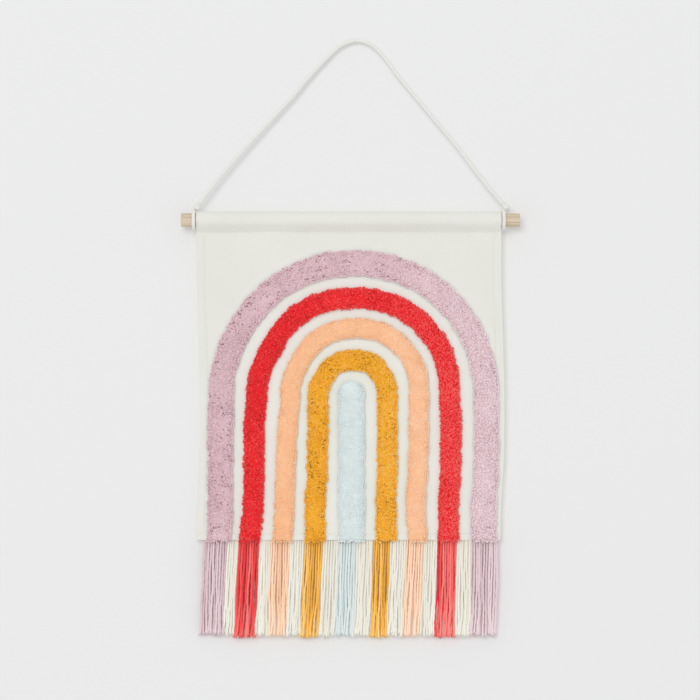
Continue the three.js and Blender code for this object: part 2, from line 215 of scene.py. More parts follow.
class Form:
    """Points, faces and tones of one piece, gathered from many small forms."""

    def __init__(self):
        self.points, self.tones, self.count = [], [], 0
        self.quads, self.triangles = [np.empty((0, 4), int)], [np.empty((0, 3), int)]

    def add(self, points, quads=None, triangles=None, tone=1.0):
        points = np.asarray(points, dtype=float).reshape(-1, 3)
        self.points.append(points)
        self.tones.append(np.broadcast_to(np.asarray(tone, dtype=float).ravel(), (len(points),)))
        if quads is not None:
            self.quads.append(np.asarray(quads).reshape(-1, 4) + self.count)
        if triangles is not None:
            self.triangles.append(np.asarray(triangles).reshape(-1, 3) + self.count)
        self.count += len(points)

    def piece(self, name, material):
        """The object, smooth shaded, with its tone as a point attribute."""
        quads, triangles = np.concatenate(self.quads), np.concatenate(self.triangles)
        corners = np.concatenate([quads.ravel(), triangles.ravel()]).astype(np.int32)
        sizes = np.concatenate([np.full(len(quads), 4), np.full(len(triangles), 3)])
        starts = np.concatenate([[0], np.cumsum(sizes)[:-1]]).astype(np.int32)
        mesh = bpy.data.meshes.new(name)
        mesh.vertices.add(self.count)
        mesh.vertices.foreach_set("co", np.concatenate(self.points).ravel())
        mesh.loops.add(len(corners))
        mesh.loops.foreach_set("vertex_index", corners)
        mesh.polygons.add(len(sizes))
        mesh.polygons.foreach_set("loop_start", starts)
        mesh.polygons.foreach_set("use_smooth", np.ones(len(sizes), bool))
        mesh.attributes.new("tone", "FLOAT", "POINT").data.foreach_set("value", np.concatenate(self.tones))
        mesh.update(calc_edges=True)
        mesh.validate()
        mesh.materials.append(material)
        return linked(name, mesh)


def dress(form, name, material, slot, *nodes):
    """A form as a finished piece: it rides on the body and stands for its nodes. The slot is not used."""
    made = form.piece(name, material)
    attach(made, "root")
    if nodes:
        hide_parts(*nodes)
    return made


def ripple(x, z, length, seed):
    """Smooth repeatable unevenness of about -1 to 1 over a surface, length from crest to crest."""
    draw = np.random.default_rng(seed)
    total = 0.0
    for _ in range(RIPPLE_WAVES):
        angle, phase = draw.uniform(0, TURN, 2)
        pace = TURN / (length * draw.uniform(*RIPPLE_LENGTHS))
        total = total + np.sin(pace * (x * math.cos(angle) + z * math.sin(angle)) + phase)
    return total / RIPPLE_PEAK


def painted_light_rightwards(x):
    """Painted light: the yarns drawn paler towards the right, from the middle on."""
    return PAINTED_LIGHT_BY * np.clip((x - RAINBOW_X) / PAINTED_LIGHT_REACH, 0, 1)


def share_down(z):
    """How far down the panel a height lies: 0 at the pocket's seam, 1 at the hem."""
    return np.clip((SEAM_Z - z) / (SEAM_Z - HEM_Z), 0, 1)


def panel_y(x, z):
    """The middle of the solid canvas at a place on the panel."""
    waves = sum(depth * np.sin(TURN * x / length + phase) for length, depth, phase in WAVES)
    return DOWEL_MIDDLE[1] + share_down(z) * (LEAN_BACK + waves)


def middle_x(z):
    """The canvas's middle line in X at a height: the places of its sway, rounded off."""
    steps = np.linspace(-SWAY_ROUNDING, SWAY_ROUNDING, 7)
    return np.mean([np.interp(z + step, SWAY[:, 0], SWAY[:, 1]) for step in steps], axis=0)


def ring(count):
    """Angles of points evenly round a circle."""
    return np.arange(count) * TURN / count


def around_x(turn):
    """Directions across X at angles about it."""
    return np.stack([0 * turn, np.cos(turn), np.sin(turn)], axis=-1)


def grid_quads(rows, columns, closed_rows=False, closed_columns=False):
    """Quads of a grid of points, row after row."""
    row = np.arange(rows if closed_rows else rows - 1)[:, None]
    column = np.arange(columns if closed_columns else columns - 1)
    next_row, next_column = (row + 1) % rows, (column + 1) % columns
    corners = [row * columns + column, row * columns + next_column,
               next_row * columns + next_column, next_row * columns + column]
    return np.stack(np.broadcast_arrays(*corners), axis=-1).reshape(-1, 4)


def tubes(form, paths, side_a, side_b, radius, tone=1.0, closed=False):
    """Adds tubes along paths of (tube, step, 3), with a radius of (tube, step, side).

    side_a and side_b span all sections, or one each; side_a x side_b is the path's direction.
    """
    count, steps, sides = radius.shape
    side_a, side_b = (np.broadcast_to(side, paths.shape)[:, :, None] for side in (side_a, side_b))
    angle = ring(sides)[:, None]
    across = np.cos(angle) * side_a + np.sin(angle) * side_b
    points = paths[:, :, None] + across * radius[..., None]
    tone = np.broadcast_to(tone, (count, steps))
    quads = grid_quads(steps, sides, closed_rows=closed, closed_columns=True)
    for k in range(count):
        start = form.count
        form.add(points[k], quads=quads, tone=np.repeat(tone[k], sides))
        if closed:
            continue
        for step, turned in ((0, 1), (steps - 1, -1)):
            rim = start + step * sides + np.arange(sides)
            fan = np.stack([np.full(sides, form.count), np.roll(rim, -turned), rim], axis=1)
            form.add([paths[k, step]], tone=tone[k, step])
            form.triangles.append(fan)


def smooth_path(points, count):
    """An even run of count points on a smooth curve through the given ones."""
    padded = np.vstack([2 * points[0] - points[1], points, 2 * points[-1] - points[-2]])
    fine = []
    for p0, p1, p2, p3 in zip(padded, padded[1:], padded[2:], padded[3:]):
        t = np.linspace(0, 1, CURVE_STEPS, endpoint=False)[:, None]
        bend = 2 * p0 - 5 * p1 + 4 * p2 - p3
        twist = 3 * p1 - p0 - 3 * p2 + p3
        fine.append(0.5 * (2 * p1 + (p2 - p0) * t + bend * t**2 + twist * t**3))
    fine = np.vstack([*fine, points[-1:]])
    run = np.concatenate([[0], np.cumsum(np.linalg.norm(np.diff(fine, axis=0), axis=1))])
    at = np.linspace(0, run[-1], count)
    return np.stack([np.interp(at, run, fine[:, k]) for k in range(3)], axis=1), run[-1]


def unit(vectors):
    return vectors / np.linalg.norm(vectors, axis=-1, keepdims=True)


# Camera

def add_camera():
    """Straight at the hanging from the front, framed as the photograph is."""
    data = bpy.data.cameras.new("camera")
    data.sensor_width = SENSOR_MM
    data.lens = SENSOR_MM * CAMERA_DISTANCE / (PHOTO_SIDE * PIXEL)
    data.clip_end = 50
    camera = linked("camera", data)
    middle = PHOTO_SIDE / 2
    x = (middle - ORIGIN_PIXEL[0]) * PIXEL
    z = (ORIGIN_PIXEL[1] - middle) * PIXEL
    camera.location = (x, DOWEL_MIDDLE[1] - CAMERA_DISTANCE, z)
    camera.rotation_euler = (math.pi / 2, 0, 0)
    bpy.context.scene.camera = camera


# Materials

YARN_FIBRES, FIBRE_SHARE = 2000, 0.5
YARN_CLOUDS, CLOUD_SHARE = 24, 0.3
LIT_TONE = 0.6
WEAVE_PITCH = 0.55 * MM
CANVAS_PLAIN = (srgb(226, 225, 217), srgb(238, 237, 231))
# Painted light: the canvas's colours where it is drawn whiter in and near the rainbow, to offset the shade
# there
CANVAS_PAINTED_LIGHT = (srgb(231, 233, 224), srgb(242, 243, 237))
COTTON = (srgb(202, 200, 193), srgb(233, 232, 227))
WOOD_LINES = (srgb(195, 175, 148), srgb(226, 211, 190))
WOOD_FLECKS = srgb(189, 169, 142)


class Paint:
    """A new material, with short ways to add nodes to it. Noise scales are in crests a metre."""

    def __init__(self, name, roughness):
        self.material = bpy.data.materials.new(name)
        self.material.use_nodes = True
        self.nodes, self.links = self.material.node_tree.nodes, self.material.node_tree.links
        self.shader = self.nodes["Principled BSDF"]
        self.set({"Roughness": roughness})

    def feed(self, socket, value):
        """Sets a socket to a number or colour, or joins it to another node's output."""
        if isinstance(value, bpy.types.NodeSocket):
            self.links.new(value, socket)
        else:
            socket.default_value = value

    def set(self, values):
        """Feeds the shader's own sockets by name."""
        for name, value in values.items():
            self.feed(self.shader.inputs[name], value)

    def wire(self, node, output, inputs):
        """Feeds a node's inputs by name or number, and gives one of its outputs."""
        for key, value in inputs.items():
            self.feed(node.inputs[key], value)
        return node.outputs[output]

    def add(self, kind, output, inputs):
        """An output of a new node of a kind."""
        return self.wire(self.nodes.new("ShaderNode" + kind), output, inputs)

    def math(self, operation, *values, clamp=False):
        node = self.nodes.new("ShaderNodeMath")
        node.operation, node.use_clamp = operation, clamp
        return self.wire(node, 0, dict(enumerate(values)))

    def centred(self, noise, share):
        """Noise spread over a share and shifted to lie about 0."""
        return self.math("MULTIPLY_ADD", noise, share, -share / 2)

    def place(self):
        """The piece's own coordinates."""
        return self.add("TexCoord", "Object", {})

    def noise(self, scale, detail=3.0, stretch=(1, 1, 1)):
        place = self.add("Mapping", "Vector", {"Vector": self.place(), "Scale": stretch})
        return self.add("TexNoise", "Fac", {"Vector": place, "Scale": scale, "Detail": detail})

    def tone(self):
        """The tone that a piece's points carry."""
        node = self.nodes.new("ShaderNodeAttribute")
        node.attribute_name = "tone"
        return node.outputs["Fac"]

    def mix(self, share, low, high):
        """A mix from low to high; each is a colour or an output."""
        node = self.nodes.new("ShaderNodeMix")
        node.data_type = "RGBA"
        return self.wire(node, "Result", {"Factor": share, "A": low, "B": high})

    def bump(self, height, distance, strength):
        inputs = {"Height": height, "Distance": distance, "Strength": strength}
        self.set({"Normal": self.add("Bump", "Normal", inputs)})


def yarn_material(name, deep_shade, lit, highlight, grain):
    """Soft dyed yarn: painted shade deep between its yarns, a pale painted highlight on some ends, fine
    fibres and faint clouds.
    """
    paint = Paint(name, 0.95)
    fibres = paint.noise(YARN_FIBRES, detail=4, stretch=grain)
    clouds = paint.noise(YARN_CLOUDS, detail=2)
    share = paint.math("ADD", paint.tone(), paint.centred(fibres, FIBRE_SHARE))
    share = paint.math("ADD", share, paint.centred(clouds, CLOUD_SHARE), clamp=True)
    # Colour ramp from the painted shade through the lit colour to the painted highlight
    ramp = paint.nodes.new("ShaderNodeValToRGB")
    ramp.color_ramp.elements[0].color = srgb(*deep_shade)
    ramp.color_ramp.elements[1].color = srgb(*highlight)
    ramp.color_ramp.elements.new(LIT_TONE).color = srgb(*lit)
    paint.feed(ramp.inputs["Fac"], share)
    paint.set({"Base Color": ramp.outputs["Color"], "Specular IOR Level": 0.1})
    paint.set({"Sheen Weight": 0.3, "Sheen Roughness": 0.6})
    paint.bump(fibres, 0.3 * MM, 0.7)
    return paint.material


def weave_height(paint, pitch):
    """Height of a plain weave of threads in X and Z."""
    waves = []
    for axis in ("X", "Z"):
        place = paint.add("SeparateXYZ", axis, {"Vector": paint.place()})
        waves.append(paint.math("SINE", paint.math("MULTIPLY", place, math.pi / pitch)))
    threads = paint.math("ADD", *[paint.math("ABSOLUTE", wave) for wave in waves])
    return paint.math("ADD", threads, paint.math("MULTIPLY", *waves))


def canvas_material():
    """Off-white canvas: plain weave, slubs and faint clouds, with painted light making it whiter where the
    tone is 1.
    """
    paint = Paint("canvas", 0.92)
    slubs = paint.noise(160, detail=4, stretch=(1, 1, 7))
    clouds = paint.noise(14)
    share = paint.math("MULTIPLY", paint.math("MULTIPLY_ADD", slubs, 0.6, clouds), 0.62)
    colour = paint.mix(paint.tone(), paint.mix(share, *CANVAS_PLAIN), paint.mix(share, *CANVAS_PAINTED_LIGHT))
    paint.set({"Base Color": colour, "Sheen Weight": 0.1, "Specular IOR Level": 0.25})
    height = paint.math("MULTIPLY_ADD", slubs, 1.2, weave_height(paint, WEAVE_PITCH))
    paint.bump(height, 0.09 * MM, 0.8)
    return paint.material


def cord_material():
    """Natural cotton cord and thread: soft, nearly white, darker between its strands."""
    paint = Paint("cotton", 0.9)
    fibres = paint.noise(1500)
    share = paint.math("ADD", paint.tone(), paint.centred(fibres, 0.4), clamp=True)
    paint.set({"Base Color": paint.mix(share, *COTTON), "Sheen Weight": 0.15, "Specular IOR Level": 0.2})
    paint.bump(fibres, 0.15 * MM, 0.7)
    return paint.material


def wood_material():
    """Bare pale wood with its grain along X and darker growth lines."""
    paint = Paint("bare_wood", 0.62)
    broad = paint.noise(300, stretch=(0.035, 1, 1))
    fine = paint.noise(1400, detail=5, stretch=(0.04, 1, 1))
    lines = paint.math("PINGPONG", paint.math("MULTIPLY", broad, 6.0), 1.0)
    flecks = paint.math("MULTIPLY", fine, 0.55)
    paint.set({"Base Color": paint.mix(flecks, paint.mix(lines, *WOOD_LINES), WOOD_FLECKS)})
    paint.bump(fine, 0.03 * MM, 0.5)
    return paint.material


# Cord

GAP = 0.3 * MM
CORD_STRANDS = 3
CORD_SIDES = 18
CORD_PITCH = 15 * MM
CORD_STEP = 1.6 * MM
CORD_TONE = 0.85
CORD_GROOVES, RING_GROOVES, WRAP_GROOVES = 0.24, 0.18, 0.25
RING_STEPS, RING_TWISTS = 72, 2

# The knot: its wraps, their turn, thickness and half height, and the core that they stand round
WRAPS, WRAP_STEPS, WRAP_SIDES, WRAP_TWISTS = 2.2, 60, 12, 1.5
WRAP_TURN, WRAP_RADIUS, WRAP_RISE = 2.7 * MM, 2 * MM, 2.6 * MM
CORE_RADIUS, CORE_BELOW, CORE_ABOVE, CORE_STEPS, CORE_TONE = 2.2 * MM, 5 * MM, 5.4 * MM, 8, 0.8


def lobed(angle, twist, lobes, depth):
    """Share of a radius around a twisted section of so many strands."""
    return 1 - depth / 2 + depth / 2 * np.cos(lobes * (angle - twist))


def cord_radius(twist, depth):
    """Radius round the sections of a cord of three twisted strands, at each section's twist."""
    return CORD_DIAMETER / 2 * lobed(ring(CORD_SIDES), twist[:, None], CORD_STRANDS, depth)


def route_frames(path):
    """Two directions across a path that never runs along Y."""
    along = unit(np.gradient(path, axis=0))
    side_a = unit(ALONG_Y - along * along[:, 1:2])
    return side_a, np.cross(along, side_a)


def knot_exit(knot, towards):
    """The place just clear of a knot where the free cord begins."""
    return knot + unit(towards - knot) * (KNOT_RADIUS + GAP)


def add_hanging_cord(material):
    """The free cord from knot to knot, three strands twisted together."""
    start = knot_exit(TIES["cord_tie_left"]["knot"], CORD_ROUTE[0])
    end = knot_exit(TIES["cord_tie_right"]["knot"], CORD_ROUTE[-1])
    route = np.vstack([start, CORD_ROUTE, end])
    length = smooth_path(route, 2)[1]
    path, length = smooth_path(route, int(length / CORD_STEP))
    side_a, side_b = route_frames(path)
    radius = cord_radius(np.linspace(0, TURN * length / CORD_PITCH, len(path)), CORD_GROOVES)
    form = Form()
    tubes(form, path[None], side_a, side_b, radius[None], tone=CORD_TONE)
    return dress(form, "cord_from_tie_to_tie", material, "cord", "hanging_cord"), path, length


def add_tie(name, ring_x, knot, towards, material):
    """A turn of the cord round the dowel, and the small knot that holds it."""
    form = Form()
    ring_radius = DOWEL_RADIUS + GAP + CORD_DIAMETER / 2
    turn = ring(RING_STEPS)
    outward = around_x(turn)
    path = np.array([ring_x, DOWEL_MIDDLE[1], DOWEL_MIDDLE[2]]) + ring_radius * outward
    radius = cord_radius(turn * RING_TWISTS, RING_GROOVES)
    tubes(form, path[None], ALONG_X, outward, radius[None], tone=CORD_TONE, closed=True)

    leg = unit(towards - knot)
    side_a = unit(np.cross(leg, ALONG_Y))
    side_b = np.cross(leg, side_a)
    turn = np.linspace(0, TURN * WRAPS, WRAP_STEPS)
    rise = np.linspace(-WRAP_RISE, WRAP_RISE, WRAP_STEPS)
    outward = np.cos(turn)[:, None] * side_a + np.sin(turn)[:, None] * side_b
    path = knot + outward * WRAP_TURN + rise[:, None] * leg
    across = np.cross(unit(np.gradient(path, axis=0)), outward)
    twist = turn[:, None] * WRAP_TWISTS
    radius = WRAP_RADIUS * lobed(ring(WRAP_SIDES), twist, CORD_STRANDS, WRAP_GROOVES)
    tubes(form, path[None], outward, across, radius[None], tone=CORD_TONE)

    path = np.linspace(knot - leg * CORE_BELOW, knot + leg * CORE_ABOVE, CORE_STEPS)
    radius = np.full((1, CORE_STEPS, WRAP_SIDES), CORE_RADIUS)
    tubes(form, path[None], side_a, side_b, radius, tone=CORE_TONE)
    return dress(form, name + "_wrapped", material, "cord", name)


# Canvas

POCKET_RADIUS = DOWEL_RADIUS + 2.3 * MM - CLOTH / 2
FRONT_SHIFT = -SOLID_HALF + CLOTH / 2
TAIL = 9 * MM
SIDE_HEM, SIDE_STITCHES = 12 * MM, 10.4 * MM
FOOT_HEM, FOOT_STITCHES = 10 * MM, 8.4 * MM

# The cloth's grid: heights of its rows over the hem and under the seam, and places of its columns from a side
HEM_ROWS = np.array([0.35, 0.7, 1.2, 2.5, 5, 8.6, 9.8, 10.6]) * MM
PANEL_ROWS, PANEL_FOOT, PANEL_TOP = 96, 14 * MM, 5 * MM
SEAM_ROWS = np.array([4, 3, 2, 1.2, 0.6, 0]) * MM
LOOP_ROWS = 44
TAIL_ROWS = (0.15, 0.4, 0.7, 0.9, 0.97)
EDGE_COLUMNS = np.array([0, 0.3, 0.8, 1.6, 4, 7, 9.6, 10.4, 11.2, 11.8, 12.3, 13.2, 15]) * MM
INNER_COLUMNS, INNER_EDGE = 86, 18 * MM

# Its edges' rounding, its folds' slope, its stitch grooves, the seam's pucker and its faint unevenness
EDGE_ROUND = 0.9 * MM
FOLD_SLOPE = 0.6 * MM
GROOVE_DEPTH, GROOVE_WIDTH, SEAM_WIDTH = 0.3 * MM, 0.7 * MM, 1 * MM
PUCKER, PUCKER_LENGTH, PUCKER_FADE = 0.35 * MM, 34 * MM, 26 * MM
UNEVEN, UNEVEN_LENGTH = 0.2 * MM, 70 * MM
# How far out from the outer arch the canvas's painted light fades away
PAINTED_LIGHT_FADE = 12 * MM


def canvas_profile():
    """The cloth's middle line in Y and Z, about the solid's middle: hem, front, pocket, back and tail."""
    rows = np.linspace(HEM_Z + PANEL_FOOT, SEAM_Z - PANEL_TOP, PANEL_ROWS)
    up = np.concatenate([HEM_Z + HEM_ROWS, rows, SEAM_Z - SEAM_ROWS])
    front = np.stack([np.full(len(up), FRONT_SHIFT), up], axis=1)
    drop = DOWEL_MIDDLE[2] - SEAM_Z
    tangent = math.acos(POCKET_RADIUS / drop)
    turn = np.linspace(-math.pi / 2 - tangent, -1.5 * math.pi - (math.pi - tangent), LOOP_ROWS)
    loop = POCKET_RADIUS * np.stack([np.cos(turn), np.sin(turn)], axis=1) + [0, DOWEL_MIDDLE[2]]
    back_y = FRONT_SHIFT + CLOTH + 0.05 * MM
    joins = np.linspace(front[-1], loop[0], 5)[1:-1]
    returns = np.linspace(loop[-1], [back_y, SEAM_Z], 5)[1:]
    tail = [[back_y, SEAM_Z - TAIL * share] for share in TAIL_ROWS]
    return np.vstack([front, joins, loop, returns, tail]), len(front)


def column_places():
    """Where the cloth's columns stand across it, closer at its rounded edges and its hems' inner edges."""
    inner = np.linspace(INNER_EDGE, CLOTH_WIDTH - INNER_EDGE, INNER_COLUMNS)
    return np.concatenate([EDGE_COLUMNS, inner, CLOTH_WIDTH - EDGE_COLUMNS[::-1]])


def add_canvas(material):
    """One cloth: a panel with turned side and foot hems, and a sewn pocket round the dowel."""
    profile, front_rows = canvas_profile()
    along = unit(np.gradient(profile, axis=0))
    normal_y, normal_z = -along[:, 1:], along[:, :1]
    z = profile[:, 1:]
    places = column_places()
    x = middle_x(z) - CLOTH_WIDTH / 2 + places
    from_side = np.minimum(places, CLOTH_WIDTH - places)
    on_panel = (np.arange(len(profile)) < front_rows - len(SEAM_ROWS))[:, None]
    from_foot = np.where(on_panel, z - HEM_Z, 1.0)
    half = CLOTH / 2
    rounding = np.clip(from_side / EDGE_ROUND, 0, 1) * np.clip(from_foot / EDGE_ROUND, 0, 1)
    rounding = 0.25 + 0.75 * np.sqrt(1 - (1 - rounding) ** 2)
    side_fold = np.clip((SIDE_HEM - from_side) / FOLD_SLOPE, 0, 1)
    foot_fold = np.clip((FOOT_HEM - from_foot) / FOLD_SLOPE, 0, 1)
    fold = np.maximum(side_fold, foot_fold) * on_panel
    side_groove = np.exp(-((from_side - SIDE_STITCHES) / GROOVE_WIDTH) ** 2) * on_panel
    foot_groove = np.exp(-((from_foot - FOOT_STITCHES) / GROOVE_WIDTH) ** 2)
    on_front = (np.arange(len(profile)) < front_rows + 2)[:, None]
    seam_groove = np.exp(-((z - SEAM_Z) / SEAM_WIDTH) ** 2) * on_front
    groove = np.maximum(np.maximum(side_groove, foot_groove), seam_groove) * GROOVE_DEPTH
    front = half * rounding - groove
    back = half * rounding + fold * CLOTH * rounding
    below = np.clip((SEAM_Z - z) / PUCKER_FADE, 0, 8)
    pucker = PUCKER * ripple(x, 0 * z, PUCKER_LENGTH, 5) * np.exp(-below) * (z < SEAM_Z + 6 * MM)
    surface = UNEVEN * ripple(x, z, UNEVEN_LENGTH, 6) * share_down(z) * (from_side > 2 * MM)
    y = panel_y(x, z) + pucker + surface + profile[:, :1]
    faces = []
    for offset in (front, -back):
        face = np.broadcast_arrays(x, y + offset * normal_y, z + offset * normal_z)
        faces.append(np.stack(face, axis=-1))
    rows, columns = x.shape
    form = Form()
    size = rows * columns
    quads = grid_quads(rows, columns)
    point = np.arange(size).reshape(rows, columns)
    rims = []
    for line in (point[:, 0], point[::-1, -1], point[0, ::-1], point[-1]):
        rims.append(np.stack([line[:-1], line[1:], line[1:] + size, line[:-1] + size], axis=1))
    # Painted light: the front is drawn whiter over the rainbow, fading out beyond the outer arch; the back
    # has none
    beyond = arch_place(ARCHES[0], x, z)[0] - ARCHES[0]["half"]
    white = (np.clip(1 - beyond / PAINTED_LIGHT_FADE, 0, 1) * on_panel).ravel()
    tone = np.concatenate([white, np.zeros(size)])
    form.add(faces, quads=np.concatenate([quads, quads[:, ::-1] + size, *rims]), tone=tone)
    return dress(form, "canvas_banner", material, "canvas", "banner")


STITCH_PITCH, STITCH_LENGTH = 4.2 * MM, 3.1 * MM
STITCH_RADIUS, STITCH_LIFT, STITCH_SINK = 0.28 * MM, 0.2 * MM, 0.15 * MM
STITCH_TONE = 0.8


def add_stitches(label, starts, ends, material):
    """A row of short thread stitches, each a small rounded bar between two points on the cloth."""
    form = Form()
    steps, sides = 6, 6
    share = np.linspace(0, 1, steps)
    bow = np.sin(share * math.pi)
    paths = starts[:, None] + (ends - starts)[:, None] * share[:, None]
    paths = paths - STITCH_LIFT * ALONG_Y * bow[:, None]
    side_b = np.cross(unit(ends - starts), ALONG_Y)[:, None]
    taper = STITCH_RADIUS * (0.55 + 0.45 * bow)
    radius = np.broadcast_to(taper[:, None], (len(starts), steps, sides))
    tubes(form, paths, ALONG_Y, side_b, radius, tone=STITCH_TONE)
    return dress(form, "stitches_" + label, material, "cord")


def stitch_rows(material):
    """Stitching under the pocket, down both side hems and along the foot hem."""

    def front(x, z):
        return np.stack([x, panel_y(x, z) - SOLID_HALF + STITCH_SINK, z], axis=1)

    made = []
    half = CLOTH_WIDTH / 2 - 3 * MM
    for label, z, under in (("pocket", SEAM_Z, -0.2 * MM), ("foot", HEM_Z, FOOT_STITCHES)):
        x = middle_x(z) + np.arange(-half, half - STITCH_PITCH, STITCH_PITCH)
        row = np.full(len(x), z + under)
        made.append(add_stitches(label, front(x, row), front(x + STITCH_LENGTH, row), material))
    z = np.arange(HEM_Z + 12 * MM, SEAM_Z - 6 * MM, STITCH_PITCH)
    above = z + STITCH_LENGTH
    for label, side in (("side_left", -1), ("side_right", 1)):
        inset = side * (CLOTH_WIDTH / 2 - SIDE_STITCHES)
        start, end = front(middle_x(z) + inset, z), front(middle_x(above) + inset, above)
        made.append(add_stitches(label, start, end, material))
    return made


# Pile

# Tufts: their spacing and size, their rings up to a tip just past their length, and how rim tufts differ
TUFT_PITCH, TUFT_JITTER = 1.9 * MM, 0.5 * MM
TUFT_LENGTH, TUFT_RADIUS, TUFT_SIDES = 5.3 * MM, 1.18 * MM, 5
TUFT_RINGS = np.array([0.5, 0.93])
TUFT_SWELL = np.array([1.0, 0.84])
# Each ring's tone: painted shade, deeper at the lower ring than at the upper one and the tip
TUFT_TONES = np.array([0.52, 0.62])
TUFT_TIP = 1.03
# Rim tufts are shorter and stiffer, and the last value is painted light on them, against the shade at the
# rims
RIM_SHORTER, RIM_STIFFER, RIM_PAINTED_LIGHT = 0.14, 0.6, 0.25

# The tufts' row along a rim, how uneven it is, and how far in from it tufts lean outwards
RIM_INSET, RIM_PITCH, RIM_JITTER = 1.9 * MM, 1.8 * MM, 0.4 * MM
RIM_UNEVEN, RIM_WAVES = 0.7 * MM, (11 * MM, 22 * MM)
RIM_REACH = 6 * MM

# Shares of a tuft's length by which it leans at a rim and at the foot, parts in clumps, strays and bends
RIM_LEAN, FOOT_LEAN, PARTED, STRAY, BENDING = 0.34, 0.5, 0.22, 0.13, 0.22
CLUMP = 9 * MM

# Spread of the tufts' lengths, thickness and tones, and the shares that a deep tuft has of them; its tone
# share is painted shade
LUMPS, LUMP_LENGTH, LENGTH_SPREAD, RADIUS_SPREAD, TONE_SPREAD = 0.07, 26 * MM, 0.08, 0.12, 0.16
DEEP_LENGTH, DEEP_RADIUS, DEEP_SHADE_TONE = 0.88, 0.82, 0.17
# How the deep tufts with their painted shade gather in patches and pairs, and grow fewer towards the right
SPECK_PATCH, SPECK_PAIRS, SPECK_FADE = 40 * MM, 0.6, 120 * MM

# The slab under the tufts: its inset, height and step, its tone of painted shade, and its section as shares
# of its half width and height
SLAB_INSET, SLAB_HEIGHT, SLAB_STEP, SLAB_SHADE_TONE = 1.4 * MM, 3.9 * MM, 5 * MM, 0.5
SLAB_SECTION = np.array([[-1, 0], [-0.97, 0.7], [-0.5, 1], [0, 1], [0.5, 1], [0.97, 0.7], [1, 0]])
BAR_ROWS, BAR_TOP_ROWS, BAR_TOP_TURN = 36, 7, 1.35


def wander_at(run, radius, wander):
    """How far outwards an arch's middle lies at a distance along it, eased between its places."""
    arc = math.pi * radius
    place = LEG_STEPS * np.minimum(run, LEG) / LEG + ARC_STEPS * np.clip(run - LEG, 0, arc) / arc
    place = place + LEG_STEPS * np.maximum(run - LEG - arc, 0) / LEG
    first = np.clip(np.floor(place), 0, len(wander) - 2).astype(int)
    share = np.clip(place - first, 0, 1)
    values = np.array(wander) * MM
    return values[first] + (values[first + 1] - values[first]) * share**2 * (3 - 2 * share)


def arch_length(arch):
    return 2 * LEG + math.pi * arch["radius"]


def arch_point(arch, run, across):
    """A place on an arch: its distance from the left foot, and its offset outwards from the middle."""
    radius = arch["radius"]
    arc = math.pi * radius
    reach = radius + wander_at(run, radius, arch["wander"]) + across
    angle = np.clip((run - LEG) / radius, 0, math.pi)
    down = np.maximum(LEG - run, 0) + np.maximum(run - LEG - arc, 0)
    out_x, out_z = -np.cos(angle), np.sin(angle)
    return RAINBOW_X + reach * out_x, SPRING_Z + reach * out_z - down, out_x, out_z


def arch_place(arch, x, z):
    """How far outwards of an arch's middle points lie, and the direction outwards."""
    radius = arch["radius"]
    dx, dz = x - RAINBOW_X, np.maximum(z - SPRING_Z, 0)
    reach = np.maximum(np.hypot(dx, dz), 1e-6)
    angle = np.arctan2(dz, -dx)
    down = np.maximum(SPRING_Z - z, 0)
    on_left = dx < 0
    run = LEG + radius * angle + np.where(on_left, -down, down)
    across = reach - radius - wander_at(run, radius, arch["wander"])
    return across, dx / reach, dz / reach


def bar_place(x, z):
    """How far points lie from the bar's axis or its round top's middle, and the direction outwards."""
    dx, dz = x - BAR_X, np.maximum(z - (BAR_TOP - BAR_HALF), 0)
    reach = np.maximum(np.hypot(dx, dz), 1e-6)
    return reach, dx / reach, dz / reach


def even_run(x, z, pitch):
    """Points at an even pitch along a line of points."""
    run = np.concatenate([[0], np.cumsum(np.hypot(np.diff(x), np.diff(z)))])
    at = np.arange(0, run[-1], pitch)
    return np.interp(at, run, x), np.interp(at, run, z)


def rim_lines(arch):
    """The lines along which a band's rim tufts stand: the bar's one, or an arch's inner and outer."""
    if arch is None:
        turn = np.linspace(0, math.pi, 60)
        half, spring = BAR_HALF - RIM_INSET, BAR_TOP - BAR_HALF
        x = np.concatenate([[BAR_X - half], BAR_X - half * np.cos(turn), [BAR_X + half]])
        z = np.concatenate([[FOOT_Z + 1 * MM], spring + half * np.sin(turn), [FOOT_Z + 1 * MM]])
        return [(x, z)]
    run = np.linspace(1 * MM, arch_length(arch) - 1 * MM, 900)
    return [arch_point(arch, run, side * (arch["half"] - RIM_INSET))[:2] for side in (-1, 1)]


def band_place(arch, x, z):
    """Distances of points inside the outer and the inner rim, and the direction outwards."""
    if arch is None:
        reach, out_x, out_z = bar_place(x, z)
        return BAR_HALF - reach, np.full(x.shape, 1.0), out_x, out_z
    across, out_x, out_z = arch_place(arch, x, z)
    return arch["half"] - across, arch["half"] + across, out_x, out_z


def rim_shift(x, z, seed):
    """How far outwards the uneven rims and their tufts lie."""
    return sum(RIM_UNEVEN * ripple(x, z, length, seed + k) for k, length in enumerate(RIM_WAVES))


